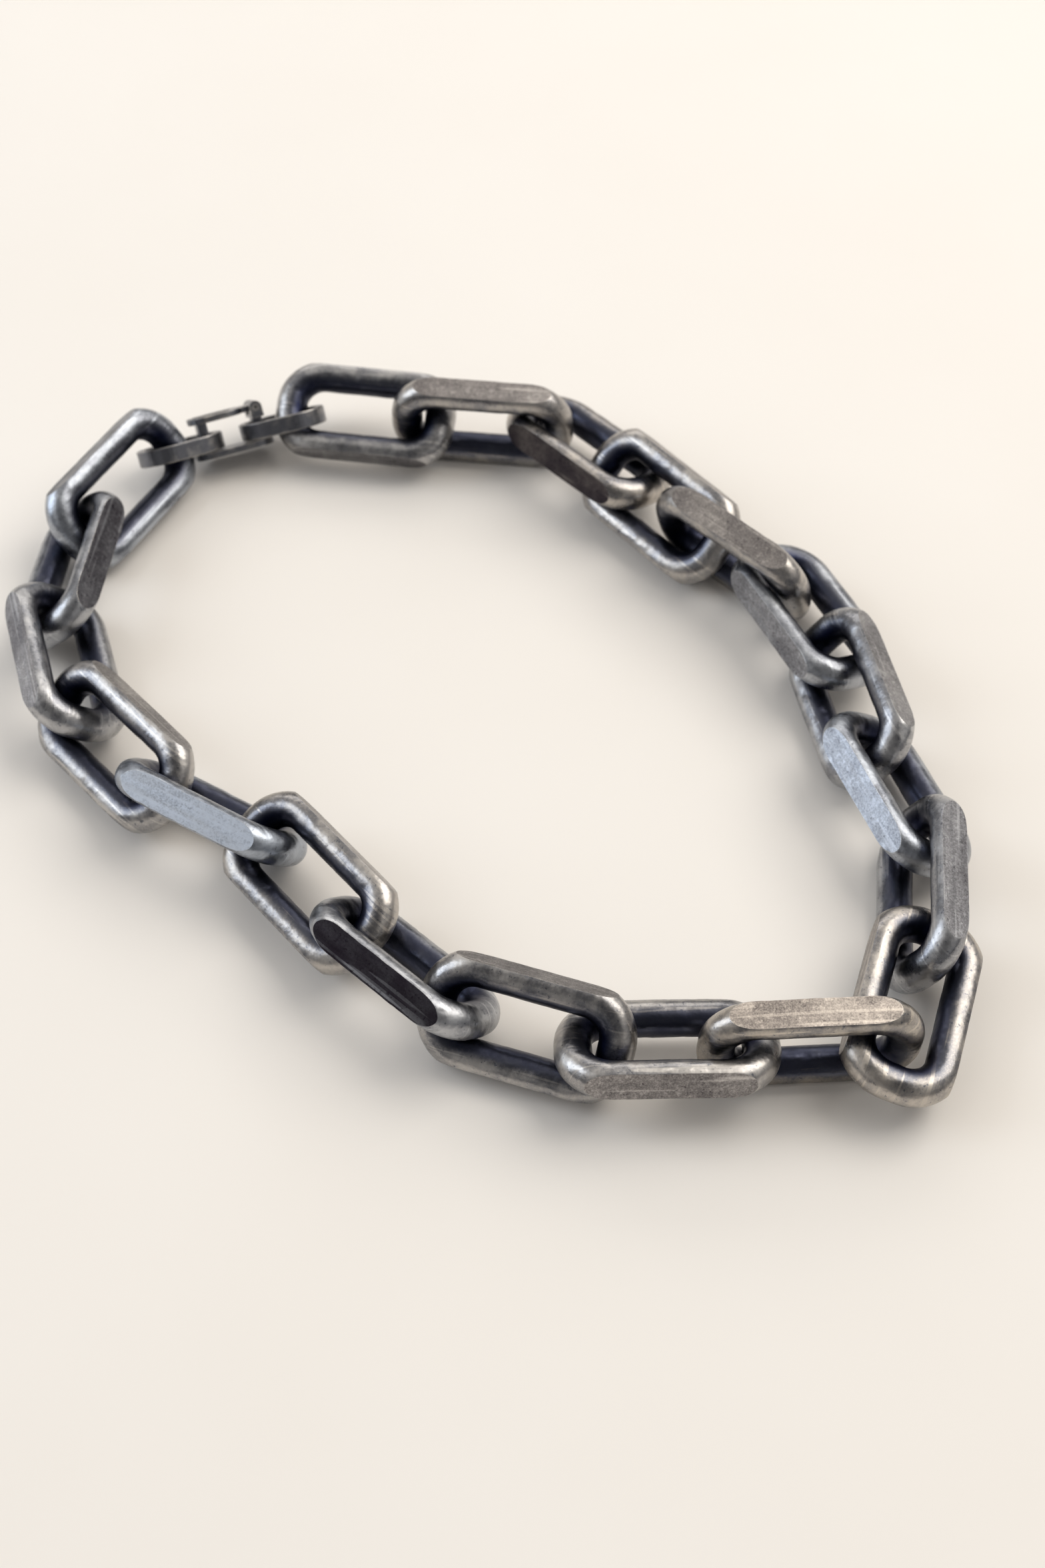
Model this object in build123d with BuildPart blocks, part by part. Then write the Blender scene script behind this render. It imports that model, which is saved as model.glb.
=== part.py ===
from build123d import *
import os
from math import acos, atan2, cos, degrees, radians, sin, sqrt

# A closed chain bracelet: twenty oblong links of round wire, each with the outer sides of its two
# long legs ground flat, and a small fold-over clasp with a strip ring at each end. It lies in a
# loose loop on a flat surface, with the links leaning alternately to the two sides.
# Millimetres, +Z up, the surface at z = 0 and the middle of the loop's outline at x = y = 0.

os.makedirs("parts", exist_ok=True)

# Links
LINK_LENGTH = 14.5
WIRE = 2.5  # diameter of the wire
LEG_SPACING = 5.9  # between the centrelines of the two long legs
END_FLAT = 0.9  # short straight stretch across each end, between two quarter bends
FACET_DEPTH = 0.575  # ground off the outer side of each long leg

# Clasp
RING_LENGTH = 7.0
RING_WIDTH = 5.0
RING_STRIP = 0.55  # thickness of the strip that the rings are bent from
RING_HEIGHT = 1.3  # width of that strip
RING_REACH = 2.05  # from the middle of a post to the middle of the ring it carries
RING_SAG = 0.1  # the rings hang this far below the clasp's middle plane
POST_SPACING = 4.4  # between the two posts that carry the rings
POST_LENGTH = 0.8
POST_WIDTH = 1.8
POST_CORNER = 0.25
PLATE_WIDTH = 3.2
PLATE_THICK = 0.5
PLATE_OVERHANG = 1.0  # base and arm run on past the posts by this much
RING_SPACE = 0.9  # from the clasp's middle plane to the base plate, and up to the pin's saddle
SADDLE_THICK = 0.25  # under the arm's knuckle
KNUCKLE_RADIUS = 0.5
KNUCKLE_WIDTH = 1.3
KNUCKLE_GAP = 0.05  # all round the knuckle, and between the pin and its bore
PIN_RADIUS = 0.22
NECK_LENGTH = 0.9  # from the pin to where the arm is at its full width
WINDOW_START = 1.8  # the arm's window, measured from the pin
WINDOW_END_GAP = 0.15  # between the free post and the far end of the window
WINDOW_SIDE_GAP = 0.08  # between the free post and each side of the window
WINDOW_CORNER = 0.2
POST_SUNK = 0.15  # top of the free post below the top of the arm

# How the bracelet lies. Going round the loop from the clasp, each link has a heading, a lean about
# its own length (0 flat, 90 on edge, positive with the inner leg up), both in degrees, and the
# slack in tenths of a millimetre between its wire and the one before.
LAY = [
    (-120, -49, 0), (-97, 40, 3), (-73, -40, 4), (-47, 41, 3), (-31, -52, 1),
    (-49, 28, 3), (-42, -43, 1), (-18, 48, 2), (1, -20, 3), (3, 90, 4),
    (72, 12, 8), (84, -61, 9), (111, 34, 8), (102, -51, 7), (116, 15, 13),
    (136, -104, 16), (131, -43, 20), (135, 18, 15), (174, -93, 2), (172, -24, 1),
]
CARRIED_HEIGHT = 3.4  # a link too flat to reach the surface hangs at this height in its neighbours
CLASP_LEAN = 40
CLASP_HEIGHT = 2.3
FIRST_RING_TURN = 9  # each ring turned on its post, in degrees, towards the link it holds
LAST_RING_TURN = -22

# Sizes that follow from the ones above
wire_radius = WIRE / 2
reach = LINK_LENGTH / 2 - wire_radius  # link centre to the middle of the wire at either end
corner_radius = (LEG_SPACING - END_FLAT) / 2
facet_offset = LEG_SPACING / 2 + wire_radius - FACET_DEPTH
facet_height = wire_radius - FACET_DEPTH  # leg's centreline to its ground face
facet_half_width = sqrt(wire_radius**2 - facet_height**2)
ring_hole_length = RING_LENGTH - 2 * RING_STRIP
ring_hole_width = RING_WIDTH - 2 * RING_STRIP
plate_end = POST_SPACING + PLATE_OVERHANG  # measured from the pin's post, as along the clasp
saddle_top = RING_SPACE + SADDLE_THICK
pin_height = saddle_top + KNUCKLE_GAP + KNUCKLE_RADIUS  # above the clasp's middle plane
arm_bottom = pin_height - PLATE_THICK / 2
window_end = POST_SPACING + POST_LENGTH / 2 + WINDOW_END_GAP


def tilted_plane(centre, heading, lean):
    """Plane whose x runs along the heading and whose y, the width, is turned up by the lean."""
    turn = radians(heading)
    tip = radians(lean)
    along = Vector(cos(turn), sin(turn), 0)
    normal = Vector(sin(turn) * sin(tip), -cos(turn) * sin(tip), cos(tip))
    return Plane(origin=centre, x_dir=along, z_dir=normal)


def resting_height(lean):
    """Height of a link's centre when its lower leg, round or on its ground face, meets z = 0."""
    lift = abs(sin(radians(lean)))
    off_facet = acos(min(1.0, lift))  # between straight down and the lower leg's ground face
    if off_facet > acos(facet_height / wire_radius):
        leg_drop = wire_radius
    else:
        leg_drop = facet_height * cos(off_facet) + facet_half_width * sin(off_facet)
    return max(CARRIED_HEIGHT, LEG_SPACING / 2 * lift + leg_drop)


def lay_out():
    """Planes of the links in the loop, each hooked through the one before it."""
    planes = []
    for heading, lean, slack in LAY:
        centre = Vector(0, 0, 0)
        here = tilted_plane(centre, heading, lean)
        if planes:
            before = planes[-1]
            # The two end wires cross along the common normal of their directions.
            crossing = before.y_dir.cross(here.y_dir).normalized()
            if crossing.dot(before.x_dir + here.x_dir) < 0:
                crossing = -crossing
            hook = crossing * (WIRE + slack / 10)
            centre = before.origin + before.x_dir * reach - hook + here.x_dir * reach
        flat_centre = Vector(centre.X, centre.Y, resting_height(lean))
        planes.append(tilted_plane(flat_centre, heading, lean))
    return planes


def clasp_plane(planes):
    """Plane of the clasp, midway between the last and first links, its origin on the pin's post."""
    last_wire = planes[-1].origin + planes[-1].x_dir * reach
    first_wire = planes[0].origin - planes[0].x_dir * reach
    span = first_wire - last_wire
    heading = degrees(atan2(span.Y, span.X))
    flat_span = Vector(span.X, span.Y, 0)
    to_post = (flat_span.length - POST_SPACING) / 2
    origin = last_wire + flat_span.normalized() * to_post
    return tilted_plane(Vector(origin.X, origin.Y, CLASP_HEIGHT), heading, CLASP_LEAN)


# One link, about its own centre: wire swept round a rounded oblong, then the legs ground flat
with BuildPart() as link_blank:
    with BuildLine() as link_centreline:
        lower_leg = Line((0, -LEG_SPACING / 2), (reach - corner_radius, -LEG_SPACING / 2))
        lower_bend = JernArc(lower_leg @ 1, lower_leg % 1, corner_radius, 90)
        end_flat = Line(lower_bend @ 1, (reach, END_FLAT / 2))
        upper_bend = JernArc(end_flat @ 1, end_flat % 1, corner_radius, 90)
        Line(upper_bend @ 1, (0, LEG_SPACING / 2))
        mirror(about=Plane.YZ)
    with BuildSketch(link_centreline.line ^ 0):
        Circle(wire_radius)
    sweep()
    with Locations((0, facet_offset, 0)):
        Box(LINK_LENGTH, WIRE, WIRE, align=(Align.CENTER, Align.MIN, Align.CENTER), mode=Mode.SUBTRACT)
    with Locations((0, -facet_offset, 0)):
        Box(LINK_LENGTH, WIRE, WIRE, align=(Align.CENTER, Align.MAX, Align.CENTER), mode=Mode.SUBTRACT)

# The loop is laid out from the first link, then moved so that its outline is centred
first_lay = lay_out()
outline = Compound([link_blank.part.located(plane.location) for plane in first_lay]).bounding_box()
to_middle = Vector(-outline.center().X, -outline.center().Y, -outline.min.Z)
link_planes = [Plane(here.origin + to_middle, here.x_dir, here.z_dir) for here in first_lay]
clasp = clasp_plane(link_planes)

for number, link_plane in enumerate(link_planes, start=1):
    with BuildPart() as link:
        with Locations(link_plane.location):
            add(link_blank.part)
    link.part.label = f"link_{number:02d}"
    export_step(link.part, f"parts/{link.part.label}.step")

# Strip rings: each round one post of the clasp, and through the end of the link beyond it
rings = {
    "clasp_ring_first": (POST_SPACING, FIRST_RING_TURN, RING_REACH),
    "clasp_ring_last": (0, LAST_RING_TURN, -RING_REACH),
}
for ring_name, (post_place, turn, ring_place) in rings.items():
    post_middle = clasp.origin + clasp.x_dir * post_place - clasp.z_dir * RING_SAG
    ring_heading = clasp.x_dir.rotate(Axis(post_middle, clasp.z_dir), turn)
    ring_plane = Plane(origin=post_middle, x_dir=ring_heading, z_dir=clasp.z_dir)
    with BuildPart() as ring:
        with BuildSketch(ring_plane):
            with Locations((ring_place, 0)):
                SlotOverall(RING_LENGTH, RING_WIDTH)
                SlotOverall(ring_hole_length, ring_hole_width, mode=Mode.SUBTRACT)
        extrude(amount=RING_HEIGHT / 2, both=True)
    ring.part.label = ring_name
    export_step(ring.part, f"parts/{ring_name}.step")

# Clasp base: a plate below the rings, a post through each ring and the saddle that holds the pin
pin_origin = clasp.origin + clasp.z_dir * pin_height
pin_plane = Plane(origin=pin_origin, x_dir=clasp.x_dir, z_dir=-clasp.y_dir)
with BuildPart() as clasp_base:
    with BuildSketch(clasp.offset(-RING_SPACE)):
        with Locations((POST_SPACING / 2, 0)):
            SlotOverall(POST_SPACING + 2 * PLATE_OVERHANG, PLATE_WIDTH)
    extrude(amount=-PLATE_THICK)
    with BuildSketch(clasp.offset(-RING_SPACE)):
        RectangleRounded(POST_LENGTH, POST_WIDTH, POST_CORNER)
    extrude(amount=2 * RING_SPACE)
    with BuildSketch(clasp.offset(-RING_SPACE)):
        with Locations((POST_SPACING, 0)):
            RectangleRounded(POST_LENGTH, POST_WIDTH, POST_CORNER)
    extrude(amount=RING_SPACE + arm_bottom + PLATE_THICK - POST_SUNK)
    with BuildSketch(clasp.offset(RING_SPACE)):
        Rectangle(2 * KNUCKLE_RADIUS, PLATE_WIDTH)
    extrude(amount=pin_height - RING_SPACE)
    with BuildSketch(pin_plane):
        Circle(KNUCKLE_RADIUS)
    extrude(amount=PLATE_WIDTH / 2, both=True)
    with BuildSketch(clasp.offset(saddle_top)):
        Rectangle(4 * KNUCKLE_RADIUS, KNUCKLE_WIDTH + 2 * KNUCKLE_GAP)
    extrude(amount=2 * KNUCKLE_RADIUS + PLATE_THICK, mode=Mode.SUBTRACT)
    with BuildSketch(pin_plane):
        Circle(PIN_RADIUS)
    extrude(amount=PLATE_WIDTH, both=True, mode=Mode.SUBTRACT)
clasp_base.part.label = "clasp_base"
export_step(clasp_base.part, "parts/clasp_base.step")

# Clasp arm: folds down over the rings, and its window drops over the free post
with BuildPart() as clasp_arm:
    with BuildSketch(clasp.offset(arm_bottom)):
        with Locations(((NECK_LENGTH + plate_end) / 2, 0)):
            SlotOverall(plate_end - NECK_LENGTH, PLATE_WIDTH)
        with Locations(((NECK_LENGTH + WINDOW_START) / 2, 0)):
            Rectangle(NECK_LENGTH + WINDOW_START, KNUCKLE_WIDTH)
        with Locations(((WINDOW_START + window_end) / 2, 0)):
            RectangleRounded(
                window_end - WINDOW_START,
                POST_WIDTH + 2 * WINDOW_SIDE_GAP,
                WINDOW_CORNER,
                mode=Mode.SUBTRACT,
            )
    extrude(amount=PLATE_THICK)
    with BuildSketch(pin_plane):
        Circle(KNUCKLE_RADIUS)
    extrude(amount=KNUCKLE_WIDTH / 2, both=True)
    with BuildSketch(pin_plane):
        Circle(PIN_RADIUS + KNUCKLE_GAP)
    extrude(amount=KNUCKLE_WIDTH, both=True, mode=Mode.SUBTRACT)
clasp_arm.part.label = "clasp_arm"
export_step(clasp_arm.part, "parts/clasp_arm.step")

# Hinge pin: pressed into the saddle's two cheeks, with the arm's knuckle free to turn on it
with BuildPart() as clasp_pin:
    with BuildSketch(pin_plane):
        Circle(PIN_RADIUS)
    extrude(amount=PLATE_WIDTH / 2, both=True)
clasp_pin.part.label = "clasp_pin"
export_step(clasp_pin.part, "parts/clasp_pin.step")
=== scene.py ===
import math

import bmesh
import bpy
import numpy as np
from mathutils import Matrix, Vector, noise


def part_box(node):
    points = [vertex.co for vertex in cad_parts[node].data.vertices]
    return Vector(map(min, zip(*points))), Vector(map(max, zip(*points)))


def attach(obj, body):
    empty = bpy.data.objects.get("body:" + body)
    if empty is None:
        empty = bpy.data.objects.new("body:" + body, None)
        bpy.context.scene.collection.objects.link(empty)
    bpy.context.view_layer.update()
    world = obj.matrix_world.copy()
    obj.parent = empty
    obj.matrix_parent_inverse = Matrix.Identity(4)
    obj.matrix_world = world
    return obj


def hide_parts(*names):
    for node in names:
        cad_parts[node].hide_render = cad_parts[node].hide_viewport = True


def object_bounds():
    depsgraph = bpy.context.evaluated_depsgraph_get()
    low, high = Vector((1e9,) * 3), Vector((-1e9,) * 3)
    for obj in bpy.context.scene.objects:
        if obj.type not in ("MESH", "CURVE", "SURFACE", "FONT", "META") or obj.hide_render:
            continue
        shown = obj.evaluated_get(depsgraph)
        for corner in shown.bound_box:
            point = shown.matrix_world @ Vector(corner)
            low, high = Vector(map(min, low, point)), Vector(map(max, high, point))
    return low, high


# A blackened silver chain bracelet of oblong links lying in a loose loop. Each CAD link is stood in for
# by a finer mesh of the same size: hand-worked wire whose legs are ground flat on their outer sides.
# The clasp's CAD nodes stay, with rounded edges. Metres, in the same frame as the CAD.

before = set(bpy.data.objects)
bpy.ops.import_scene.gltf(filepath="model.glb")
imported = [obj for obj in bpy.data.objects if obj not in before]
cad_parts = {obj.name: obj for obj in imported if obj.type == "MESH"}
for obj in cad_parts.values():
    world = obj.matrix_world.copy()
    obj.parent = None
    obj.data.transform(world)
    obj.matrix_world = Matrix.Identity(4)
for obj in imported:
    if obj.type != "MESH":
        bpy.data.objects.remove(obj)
cad_low, cad_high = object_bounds()
MM = 0.001

# Link mesh
END_FLAT_SHARE = 0.1525  # straight stretch across a link's end, as a share of the leg spacing
STATION_STEP = 0.15 * MM  # along the wire
AROUND = 56  # points round the wire
HAMMER_DEPTH = 0.05 * MM
HAMMER_SIZE = 1.7 * MM
DENT_DEPTH = 0.048 * MM
DENT_SIZE = 0.75 * MM
DENT_START = 0.12  # noise below this leaves no dent
DENT_SHIFT = Vector((40, 7, 3))  # keeps the dents' pattern apart from the hammer marks'
PATTERN_STEP = Vector((31.7, 17.3, 5.1)) * MM  # moves every noise pattern on from link to link
FACET_EDGE = 0.11 * MM  # width of the worn edge round a ground face
CUT_TOLERANCE = 1e-8

# For the wear, shares of a link's half length: its legs reach up to the first and its ends start at the
# second, with a smooth change between them.
LEG_UP_TO = 0.45
END_FROM = 0.8

# Places of the ground faces' and the rubbed edges' materials in a link's mesh, after the wire's
FACET, EDGE = 1, 2

# How pale each link's ground faces are (0 near black, 1 silver), and how warm its ground faces and the
# rubbed parts of its wire are (0 bluish, 1 beige).
FACE_LOOKS = {
    1: (0.35, 0.1),
    2: (0.22, 0.3),
    3: (0.4, 0.4),
    4: (0.5, 0.6),
    5: (0.9, 0.0),
    6: (0.45, 0.7),
    7: (0.0, 0.3),
    8: (0.36, 0.6),
    9: (0.46, 0.6),
    10: (0.46, 0.9),
    11: (0.5, 0.8),
    12: (0.42, 0.35),
    13: (0.6, 0.1),
    14: (0.45, 0.4),
    15: (0.38, 0.2),
    16: (0.45, 0.7),
    17: (0.45, 0.7),
    18: (0.1, 0.8),
    19: (0.42, 0.7),
    20: (0.35, 0.5),
}

SCRATCH_TURNS = (0.25, -0.6, 1.1)  # directions of the scratches, in radians from the link's length

# Clasp
CLASP_EDGE = 0.1 * MM  # rounding of the edges
CLASP_EDGE_ANGLE = 38  # degrees, above which an edge is rounded
WELD_DISTANCE = 0.001 * MM
RUBBED_RIM = 0.12 * MM  # how far from an edge the clasp is rubbed bright

# Light and floor
KEY_WATTS = 1.3
WINDOW_WATTS = 0.85
BACK_WATTS = 0.7
SKY_STRENGTH = 0.61
WARM_WHITE = (1.0, 0.95, 0.88)
COOL_WHITE = (0.82, 0.9, 1.0)
SOFT_WHITE = (1.0, 0.96, 0.91)
FLOOR_HALF = 3.0  # half the floor's side
FLOOR_GAP = 0.01 * MM  # below the lowest ground face

# Camera
ELEVATION = math.radians(53.4)  # above the horizon
CAMERA_DISTANCE = 151.7 * MM
SENSOR = 36.0  # mm
LENS = 73.2  # mm
TARGET_FROM_FIRST = Vector((31 * MM, -26 * MM))  # the aim, on the floor, from the first link's middle
FSTOP = 70

LINKS = [f"link_{number:02d}" for number in range(1, 21)]
CLASP_SLOTS = {
    "clasp_ring_first": "clasp_silver",
    "clasp_ring_last": "clasp_silver",
    "clasp_base": "clasp_silver",
    "clasp_arm": "clasp_silver",
    "clasp_pin": "pin_silver",
}


def smooth_step(low, high, value):
    """0 below low, 1 above high, and a smooth rise between them."""
    t = np.clip((value - low) / (high - low), 0, 1)
    return t * t * (3 - 2 * t)


# ---------------------------------------------------------------- where each link is


def own_axes(obj):
    """Middle of a CAD solid and its long, wide and thin directions, from the solid's own inertia."""
    mesh = obj.data
    mesh.calc_loop_triangles()
    points = np.array([v.co for v in mesh.vertices], float)
    corners = points[np.array([t.vertices for t in mesh.loop_triangles])]
    around = points.mean(0)
    a, b, c = corners[:, 0] - around, corners[:, 1] - around, corners[:, 2] - around
    volume = np.einsum("ij,ij->i", a, np.cross(b, c)) / 6
    total = a + b + c
    middle = (volume[:, None] * total).sum(0) / 4 / volume.sum()
    spread = sum(np.einsum("i,ij,ik->jk", volume, p, p) for p in (a, b, c, total)) / 20
    spread -= volume.sum() * np.outer(middle, middle)
    _, directions = np.linalg.eigh(spread)
    thin, along = directions[:, 0], directions[:, 2]
    thin = thin * np.sign(thin[np.argmax(np.abs(thin))])
    along = along * np.sign(along[np.argmax(np.abs(along))])
    return middle + around, np.array([along, np.cross(thin, along), thin])


def link_sizes(obj):
    """Half length, half width over the ground faces, wire radius and half the leg spacing of a link."""
    middle, axes = own_axes(obj)
    points = (np.array([v.co for v in obj.data.vertices], float) - middle) @ axes.T
    half_length, half_width, wire_radius = np.abs(points).max(0)
    near_middle = np.abs(points[:, 0]) < half_length / 2
    hole_half = np.abs(points[near_middle, 1]).min()
    return half_length, half_width, wire_radius, hole_half + wire_radius


half_length, facet_offset, wire_radius, leg_half = link_sizes(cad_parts["link_10"])
reach = half_length - wire_radius
end_half = END_FLAT_SHARE * leg_half
corner_radius = leg_half - end_half


# ---------------------------------------------------------------- link meshes


def link_centreline():
    """Points along the middle of the wire, with the outward direction in the link's plane at each."""
    straight = reach - corner_radius
    stations = []
    leg_steps = round(2 * straight / STATION_STEP)
    bend_steps = round(math.pi / 2 * corner_radius / STATION_STEP)
    end_steps = round(2 * end_half / STATION_STEP)
    for side in (1, -1):
        for step in range(leg_steps):
            stations.append((side * (2 * step / leg_steps - 1) * straight, -side * leg_half, 0, -side))
        for step in range(bend_steps):
            angle = math.pi / 2 * (step / bend_steps - 1)
            out_x, out_y = side * math.cos(angle), side * math.sin(angle)
            x, y = side * straight + corner_radius * out_x, -side * end_half + corner_radius * out_y
            stations.append((x, y, out_x, out_y))
        for step in range(end_steps):
            stations.append((side * reach, side * (2 * step / end_steps - 1) * end_half, side, 0))
        for step in range(bend_steps):
            angle = math.pi / 2 * step / bend_steps
            out_x, out_y = side * math.cos(angle), side * math.sin(angle)
            x, y = side * straight + corner_radius * out_x, side * end_half + corner_radius * out_y
            stations.append((x, y, out_x, out_y))
    return stations


CENTRELINE = link_centreline()


def worked_depth(point, number):
    """How far the surface lies below the plain round wire at a point: soft hammer marks and dents."""
    place = point + PATTERN_STEP * number
    hammer = 0.5 + 0.5 * noise.noise(place / HAMMER_SIZE)
    dent = noise.noise(place / DENT_SIZE + DENT_SHIFT)
    return HAMMER_DEPTH * hammer + DENT_DEPTH * max(0.0, dent - DENT_START)


def link_mesh(name, number):
    """One link about its own middle: x along it, y across it, z out of its plane."""
    bm = bmesh.new()
    rings = []
    for x, y, out_x, out_y in CENTRELINE:
        ring = []
        for step in range(AROUND):
            angle = 2 * math.pi * step / AROUND
            outward, upward = math.cos(angle), math.sin(angle)
            direction = Vector((out_x * outward, out_y * outward, upward))
            point = Vector((x, y, 0)) + direction * wire_radius
            point -= direction * worked_depth(point, number)
            ring.append(bm.verts.new(point))
        rings.append(ring)
    for this, after in zip(rings, rings[1:] + rings[:1]):
        for step in range(AROUND):
            bm.faces.new((this[step - 1], this[step], after[step], after[step - 1]))
    bmesh.ops.recalc_face_normals(bm, faces=bm.faces)
    edges_of_facets = []
    for side in (1, -1):
        cut = bmesh.ops.bisect_plane(
            bm,
            geom=bm.verts[:] + bm.edges[:] + bm.faces[:],
            dist=CUT_TOLERANCE,
            plane_co=(0, side * facet_offset, 0),
            plane_no=(0, side, 0),
            clear_outer=True,
        )
        rim = [e for e in cut["geom_cut"] if isinstance(e, bmesh.types.BMEdge)]
        for face in bmesh.ops.contextual_create(bm, geom=rim)["faces"]:
            face.material_index = FACET
        edges_of_facets += rim
    rounded = bmesh.ops.bevel(
        bm,
        geom=edges_of_facets,
        offset=FACET_EDGE,
        offset_type="OFFSET",
        segments=2,
        profile=0.6,
        affect="EDGES",
        clamp_overlap=True,
    )
    for face in rounded["faces"]:
        face.material_index = EDGE
    for face in bm.faces:
        face.smooth = face.material_index != FACET
    bmesh.ops.recalc_face_normals(bm, faces=bm.faces)
    mesh = bpy.data.meshes.new(name)
    bm.to_mesh(mesh)
    bm.free()
    return mesh


def finish_attributes(mesh, number):
    """Stores what the metals need to know: place in the pattern, patina with painted shade, wear, paleness
    and warmth.
    """
    points = np.array([v.co for v in mesh.vertices], float)
    # Distance outward from the wire's centreline, in the plane of the link
    across = np.abs(points[:, :2]) - (reach - corner_radius, end_half)
    outside = np.hypot(np.maximum(across[:, 0], 0), np.maximum(across[:, 1], 0))
    out_of_curve = outside + np.minimum(across.max(1), 0) - corner_radius
    at_end = smooth_step(LEG_UP_TO, END_FROM, np.abs(points[:, 0]) / half_length)
    # Inner side of the wire, strongest at the link's ends where the next link hooks in: patina darkening
    # plus painted shade standing in for the shadow between interlocked links.
    inward = smooth_step(-0.2 * at_end, 0.7 - 0.1 * at_end, -out_of_curve / wire_radius)
    patina_and_shade = inward * (0.75 + 0.25 * at_end)
    outer_bend = smooth_step(0.2, 0.9, out_of_curve / wire_radius) * at_end
    top_of_wire = smooth_step(0.45, 0.95, np.abs(points[:, 2]) / wire_radius)
    worn = np.clip(0.75 * outer_bend + 0.55 * top_of_wire * (1 - 0.3 * at_end), 0, 1)
    place = points + np.array(PATTERN_STEP * number)
    mesh.attributes.new("place", "FLOAT_VECTOR", "POINT").data.foreach_set(
        "vector", place.astype(np.float32).ravel()
    )
    pale, warm = (np.full(len(points), value) for value in FACE_LOOKS[number])
    for label, values in (("patina_and_shade", patina_and_shade), ("worn", worn), ("pale", pale), ("warm", warm)):
        mesh.attributes.new(label, "FLOAT", "POINT").data.foreach_set(
            "value", values.astype(np.float32)
        )


# ---------------------------------------------------------------- materials


class Nodes:
    """Short ways to add and join shader nodes. Noise scales are per metre: 1000 gives marks of 1 mm."""

    def __init__(self, tree):
        self.tree = tree

    def add(self, kind, **settings):
        """A new node with its properties set."""
        node = self.tree.nodes.new(kind)
        for key, value in settings.items():
            setattr(node, key, value)
        return node

    def join(self, output, socket):
        self.tree.links.new(output, socket)

    def attribute(self, name):
        return self.add("ShaderNodeAttribute", attribute_name=name)

    def noise(self, vector, scale, detail=4.0, rough=0.55, stretch=(1, 1, 1), turn=(0, 0, 0)):
        """A noise pattern from 0 to 1; a stretch below 1 draws it out along that turned axis."""
        mapping = self.add("ShaderNodeMapping")
        mapping.inputs["Scale"].default_value = stretch
        mapping.inputs["Rotation"].default_value = turn
        self.join(vector, mapping.inputs["Vector"])
        texture = self.add("ShaderNodeTexNoise")
        texture.inputs["Scale"].default_value = scale
        texture.inputs["Detail"].default_value = detail
        texture.inputs["Roughness"].default_value = rough
        self.join(mapping.outputs["Vector"], texture.inputs["Vector"])
        return texture.outputs["Fac"]

    def ramp(self, value, low, high, out_low=0.0, out_high=1.0):
        """out_low where the value is low, out_high where it is high, and a smooth change between them."""
        node = self.add("ShaderNodeMapRange", interpolation_type="SMOOTHSTEP")
        self.join(value, node.inputs["Value"])
        node.inputs["From Min"].default_value = low
        node.inputs["From Max"].default_value = high
        node.inputs["To Min"].default_value = out_low
        node.inputs["To Max"].default_value = out_high
        return node.outputs["Result"]

    def maths(self, operation, first, second):
        """One sum, of numbers or of other nodes' outputs."""
        node = self.add("ShaderNodeMath", operation=operation)
        for socket, value in zip(node.inputs, (first, second)):
            if isinstance(value, (int, float)):
                socket.default_value = value
            else:
                self.join(value, socket)
        return node.outputs[0]

    def mix_colour(self, share, first, second):
        """first where the share is 0 and second where it is 1, each a colour or a node's output."""
        node = self.add("ShaderNodeMix", data_type="RGBA")
        sockets = [s for s in node.inputs if s.type == "RGBA"]
        self.join(share, node.inputs[0])
        for socket, value in zip(sockets, (first, second)):
            if isinstance(value, tuple):
                socket.default_value = (*value, 1)
            else:
                self.join(value, socket)
        return [s for s in node.outputs if s.type == "RGBA"][0]

    def bump(self, height, distance, strength, normal=None):
        """Fine relief of the given depth, on top of the relief in normal."""
        node = self.add("ShaderNodeBump")
        node.inputs["Strength"].default_value = strength
        node.inputs["Distance"].default_value = distance
        self.join(height, node.inputs["Height"])
        if normal is not None:
            self.join(normal, node.inputs["Normal"])
        return node.outputs["Normal"]


def new_material(name):
    """A material with its nodes and its shader's inputs."""
    material = bpy.data.materials.new(name)
    material.use_nodes = True
    shader = material.node_tree.nodes["Principled BSDF"]
    return material, Nodes(material.node_tree), shader.inputs


def new_metal(name):
    """A metallic material with its nodes and its shader's inputs."""
    material, nodes, inputs = new_material(name)
    inputs["Metallic"].default_value = 1.0
    return material, nodes, inputs


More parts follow.
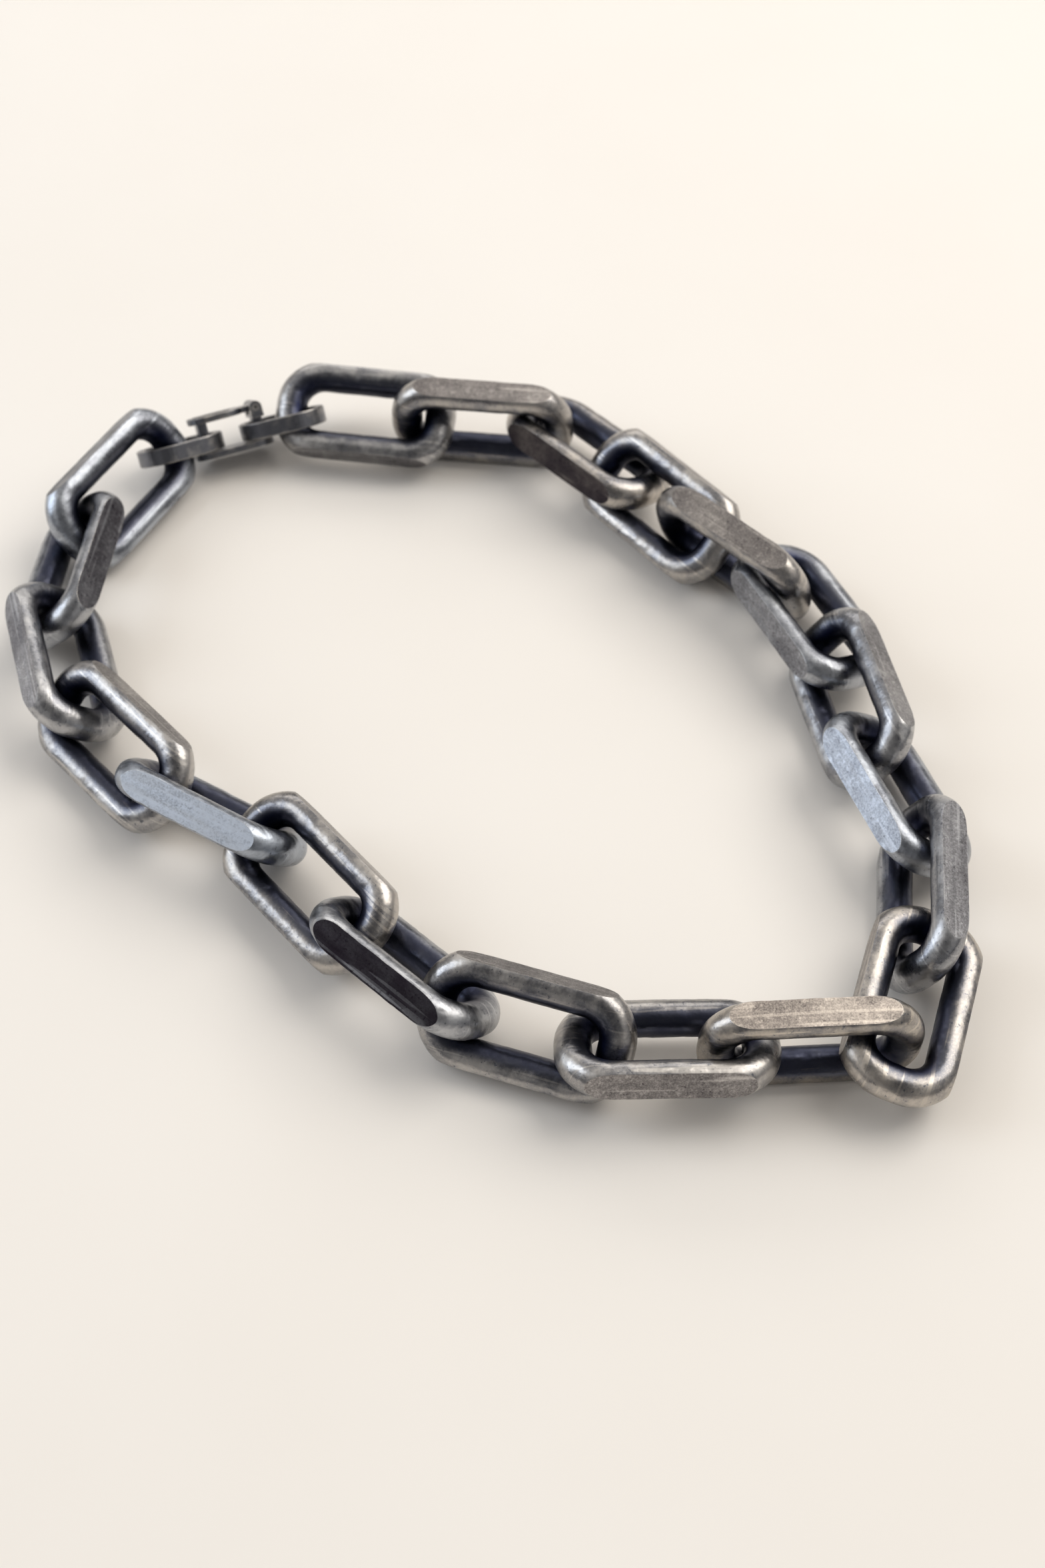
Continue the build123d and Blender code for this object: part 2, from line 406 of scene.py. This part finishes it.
def wire_metal():
    """Hand-worked wire: near black navy on its inner side and at the interlocks, patina with painted
    shade, gunmetal elsewhere, rubbed bright on what stands out.
    """
    material, n, inputs = new_metal("blackened_wire")
    place = n.attribute("place").outputs["Vector"]
    patina_and_shade = n.attribute("patina_and_shade").outputs["Fac"]
    worn = n.attribute("worn").outputs["Fac"]
    patches = n.noise(place, 620, detail=5)
    grain = n.noise(place, 5200, detail=4, rough=0.7)
    streaks = n.noise(place, 1500, detail=3, stretch=(0.16, 1, 1))
    hammer = n.noise(place, 1250, detail=2)
    rubbed = n.maths("ADD", n.maths("MULTIPLY", worn, 0.75), n.ramp(patches, 0.35, 0.72, -0.05, 0.4))
    rubbed = n.maths("ADD", rubbed, n.ramp(grain, 0.42, 0.7, -0.05, 0.12))
    rubbed = n.maths("SUBTRACT", rubbed, n.maths("MULTIPLY", patina_and_shade, 0.7))
    for turn in SCRATCH_TURNS:
        scratch = n.noise(place, 2300, detail=1, stretch=(0.05, 1, 0.05), turn=(0, 0, turn))
        rubbed = n.maths("ADD", rubbed, n.ramp(scratch, 0.66, 0.7, 0.0, 0.35))
    pits = n.ramp(n.noise(place, 3900, detail=3, rough=0.6), 0.62, 0.68)
    rubbed = n.maths("SUBTRACT", rubbed, n.maths("MULTIPLY", pits, 0.4))
    rubbed = n.ramp(rubbed, 0.0, 1.0)
    silver = n.mix_colour(n.attribute("warm").outputs["Fac"], (0.42, 0.46, 0.52), (0.56, 0.5, 0.425))
    # The blackened wire's dark colour carries a bluish tint that paints the cool light on its shaded
    # sides.
    colour = n.mix_colour(rubbed, (0.14, 0.146, 0.168), silver)
    # Painted shade: the inner side and the interlocks go near black navy, partly patina, partly shade and
    # cool light painted into the colour.
    dark = n.maths("MULTIPLY", patina_and_shade, n.ramp(patches, 0.25, 0.6, 0.75, 1.0))
    colour = n.mix_colour(dark, colour, (0.008, 0.011, 0.036))
    n.join(colour, inputs["Base Color"])
    rough = n.maths("ADD", n.ramp(patches, 0.3, 0.75, 0.26, 0.4), n.maths("MULTIPLY", patina_and_shade, 0.04))
    n.join(rough, inputs["Roughness"])
    relief = n.bump(hammer, 0.10 * MM, 0.45)
    relief = n.bump(streaks, 0.03 * MM, 0.35, relief)
    relief = n.bump(grain, 0.004 * MM, 0.4, relief)
    n.join(relief, inputs["Normal"])
    return material


def facet_metal():
    """Ground face: satin, paler than the wire, with patina left in patches and fine crossing scratches."""
    material, n, inputs = new_metal("ground_face")
    place = n.attribute("place").outputs["Vector"]
    patches = n.noise(place, 260, detail=6)
    grain = n.noise(place, 8500, detail=3, rough=0.75)
    long_scratches = n.noise(place, 2600, detail=2, stretch=(0.05, 1, 1), turn=(0, 0.12, 0))
    cross_scratches = n.noise(place, 2200, detail=2, stretch=(1, 1, 0.06), turn=(0, 0.5, 0))
    speckle = n.ramp(grain, 0.35, 0.7)
    flecks = n.ramp(n.noise(place, 2300, detail=5, rough=0.7), 0.5, 0.68)
    silver = n.mix_colour(n.attribute("warm").outputs["Fac"], (0.52, 0.565, 0.64), (0.6, 0.53, 0.455))
    pale = n.attribute("pale").outputs["Fac"]
    uneven = n.maths("ADD", pale, n.ramp(patches, 0.35, 0.65, -0.1, 0.09))
    strength = n.maths("ADD", 0.05, n.maths("MULTIPLY", pale, 0.42))
    stipple = n.maths("MULTIPLY", n.maths("SUBTRACT", speckle, 0.5), strength)
    uneven = n.maths("ADD", uneven, stipple)
    uneven = n.maths("ADD", uneven, n.maths("MULTIPLY", flecks, n.maths("MULTIPLY", uneven, 0.45)))
    pits = n.ramp(n.noise(place, 3600, detail=3, rough=0.6), 0.6, 0.66)
    uneven = n.maths("SUBTRACT", uneven, n.maths("MULTIPLY", pits, 0.15))
    for turn in SCRATCH_TURNS:
        scratch = n.noise(place, 1900, detail=1, stretch=(0.04, 1, 1), turn=(0, turn, 0))
        uneven = n.maths("ADD", uneven, n.ramp(scratch, 0.66, 0.7, 0.0, 0.2))
    colour = n.mix_colour(n.ramp(uneven, -0.1, 1.1), (0.024, 0.019, 0.026), silver)
    n.join(colour, inputs["Base Color"])
    rough = n.ramp(long_scratches, 0.3, 0.7, 0.3, 0.44)
    rough = n.maths("ADD", rough, n.ramp(patches, 0.3, 0.7, 0.06, -0.04))
    n.join(rough, inputs["Roughness"])
    relief = n.bump(patches, 0.05 * MM, 0.35)
    relief = n.bump(long_scratches, 0.016 * MM, 0.5, relief)
    relief = n.bump(cross_scratches, 0.012 * MM, 0.45, relief)
    relief = n.bump(grain, 0.006 * MM, 0.6, relief)
    n.join(relief, inputs["Normal"])
    return material


def edge_metal():
    """Edge of a ground face, where the blackening is rubbed through to bare silver."""
    material, n, inputs = new_metal("rubbed_edge")
    place = n.attribute("place").outputs["Vector"]
    breaks = n.noise(place, 1400, detail=4)
    colour = n.mix_colour(n.ramp(breaks, 0.35, 0.6), (0.34, 0.33, 0.32), (0.9, 0.86, 0.8))
    n.join(colour, inputs["Base Color"])
    n.join(n.ramp(breaks, 0.3, 0.7, 0.36, 0.2), inputs["Roughness"])
    return material


def clasp_metal(name, dark, bright):
    """Blackened strip and plate of the clasp, rubbed on its edges."""
    material, n, inputs = new_metal(name)
    place = n.add("ShaderNodeTexCoord").outputs["Object"]
    patches = n.noise(place, 900, detail=5)
    grain = n.noise(place, 6500, detail=4, rough=0.7)
    rolled = n.noise(place, 2400, detail=2, stretch=(0.3, 1, 0.15))
    edge = n.add("ShaderNodeBevel", samples=4)
    edge.inputs["Radius"].default_value = RUBBED_RIM
    geometry = n.add("ShaderNodeNewGeometry")
    turned = n.add("ShaderNodeVectorMath", operation="DOT_PRODUCT")
    n.join(edge.outputs["Normal"], turned.inputs[0])
    n.join(geometry.outputs["Normal"], turned.inputs[1])
    rim = n.ramp(turned.outputs["Value"], 0.997, 0.93)
    rubbed = n.maths("ADD", n.maths("MULTIPLY", rim, 0.7), n.ramp(patches, 0.4, 0.75, 0.0, 0.4))
    colour = n.mix_colour(n.ramp(rubbed, 0.0, 1.0), dark, bright)
    n.join(colour, inputs["Base Color"])
    n.join(n.ramp(grain, 0.3, 0.7, 0.26, 0.42), inputs["Roughness"])
    relief = n.bump(rolled, 0.02 * MM, 0.5)
    relief = n.bump(grain, 0.01 * MM, 0.6, relief)
    n.join(relief, inputs["Normal"])
    return material


def floor_surface():
    """Warm white, very slightly clouded."""
    material, n, inputs = new_material("pale_floor")
    place = n.add("ShaderNodeTexCoord").outputs["Object"]
    cloud = n.noise(place, 30, detail=3)
    n.join(n.mix_colour(cloud, (0.85, 0.81, 0.76), (0.89, 0.86, 0.82)), inputs["Base Color"])
    inputs["Roughness"].default_value = 0.75
    return material


# ---------------------------------------------------------------- the bracelet

link_metals = (wire_metal(), facet_metal(), edge_metal())  # the wire's, then FACET's and EDGE's

for number, node in enumerate(LINKS, start=1):
    middle, axes = own_axes(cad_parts[node])
    mesh = link_mesh(f"{node}_worked", number)
    finish_attributes(mesh, number)
    for metal in link_metals:
        mesh.materials.append(metal)
    placed = Matrix(axes.T.tolist()).to_4x4()
    placed.translation = Vector(middle)
    mesh.transform(placed)
    piece = bpy.data.objects.new(f"{node}_worked", mesh)
    bpy.context.scene.collection.objects.link(piece)
    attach(piece, node)
    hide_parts(node)

clasp_metals = {
    "clasp_silver": clasp_metal("blackened_clasp", (0.16, 0.165, 0.185), (0.72, 0.68, 0.62)),
    "pin_silver": clasp_metal("clasp_pin_end", (0.15, 0.148, 0.15), (0.6, 0.58, 0.55)),
}
for node, slot_name in CLASP_SLOTS.items():
    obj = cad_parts[node]
    obj.data.materials.clear()
    obj.data.materials.append(clasp_metals[slot_name])
    for polygon in obj.data.polygons:
        polygon.material_index = 0
        polygon.use_smooth = False
    weld = obj.modifiers.new("weld", "WELD")
    weld.merge_threshold = WELD_DISTANCE
    rounding = obj.modifiers.new("rounding", "BEVEL")
    rounding.width = CLASP_EDGE
    rounding.segments = 3
    rounding.limit_method = "ANGLE"
    rounding.angle_limit = math.radians(CLASP_EDGE_ANGLE)

# ---------------------------------------------------------------- floor, light and camera

loop_low, loop_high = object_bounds()
loop_middle = (loop_low + loop_high) / 2
toward_viewer = Vector((0, -math.cos(ELEVATION), math.sin(ELEVATION)))


def add_floor():
    """A plain square under the bracelet, which isn't part of it."""
    corners = [(x * FLOOR_HALF, y * FLOOR_HALF, 0) for x, y in ((-1, -1), (1, -1), (1, 1), (-1, 1))]
    mesh = bpy.data.meshes.new("floor")
    mesh.from_pydata(corners, [], [(0, 1, 2, 3)])
    mesh.materials.append(floor_surface())
    floor = bpy.data.objects.new("floor", mesh)
    floor.location.z = cad_low.z - FLOOR_GAP
    bpy.context.scene.collection.objects.link(floor)


def add_softbox(name, place, size, watts, colour):
    """A rectangular light aimed at the middle of the loop."""
    light = bpy.data.lights.new(name, "AREA")
    light.shape = "RECTANGLE"
    light.size, light.size_y = size
    light.energy = watts
    light.color = colour
    obj = bpy.data.objects.new(name, light)
    obj.location = place
    obj.rotation_euler = (loop_middle - Vector(place)).to_track_quat("-Z", "Y").to_euler()
    bpy.context.scene.collection.objects.link(obj)


def add_sky():
    """A pale ceiling over a dark horizon, brighter at the back and dark round the viewer."""
    world = bpy.data.worlds.new("studio")
    bpy.context.scene.world = world
    world.use_nodes = True
    n = Nodes(world.node_tree)
    facing = n.add("ShaderNodeTexCoord").outputs["Generated"]
    split = n.add("ShaderNodeSeparateXYZ")
    n.join(facing, split.inputs["Vector"])
    up = n.ramp(split.outputs["Z"], 0.0, 0.75)
    colour = n.mix_colour(up, (0.1, 0.11, 0.14), (1.25, 1.2, 1.13))
    back = n.maths("MULTIPLY", n.ramp(split.outputs["Y"], -0.7, 0.8), 0.5)
    colour = n.mix_colour(back, colour, (1.15, 1.1, 1.04))
    toward = n.add("ShaderNodeVectorMath", operation="DOT_PRODUCT")
    toward.inputs[1].default_value = toward_viewer
    n.join(facing, toward.inputs[0])
    round_viewer = n.ramp(toward.outputs["Value"], 0.72, 0.95, 0.0, 0.85)
    colour = n.mix_colour(round_viewer, colour, (0.06, 0.06, 0.07))
    background = world.node_tree.nodes["Background"]
    n.join(colour, background.inputs["Color"])
    background.inputs["Strength"].default_value = SKY_STRENGTH


def middle_of(node):
    """Middle of a CAD node's box."""
    low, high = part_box(node)
    return (low + high) / 2


def add_camera():
    """Aimed at the floor inside the loop, and focused on the links nearest to it."""
    focus = bpy.data.objects.new("focus_point", None)
    focus.location = middle_of("link_09")
    bpy.context.scene.collection.objects.link(focus)
    data = bpy.data.cameras.new("camera")
    data.sensor_fit = "HORIZONTAL"
    data.sensor_width = SENSOR
    data.lens = LENS
    data.clip_start = 0.01
    data.dof.use_dof = True
    data.dof.aperture_fstop = FSTOP
    data.dof.focus_object = focus
    aim = (middle_of("link_01").xy + TARGET_FROM_FIRST).to_3d()
    aim.z = cad_low.z
    camera = bpy.data.objects.new("camera", data)
    camera.location = aim + toward_viewer * CAMERA_DISTANCE
    camera.rotation_euler = (-toward_viewer).to_track_quat("-Z", "Y").to_euler()
    bpy.context.scene.collection.objects.link(camera)
    bpy.context.scene.camera = camera


add_floor()
add_softbox("key", place=(0.28, 0.15, 0.38), size=(0.36, 0.36), watts=KEY_WATTS, colour=WARM_WHITE)
add_softbox("window", place=(-0.42, 0.05, 0.22), size=(0.24, 0.4), watts=WINDOW_WATTS, colour=COOL_WHITE)
add_softbox("back", place=(0, 0.5, 0.3), size=(0.7, 0.2), watts=BACK_WATTS, colour=SOFT_WHITE)
add_sky()
add_camera()
bpy.context.scene.view_settings.view_transform = "Standard"
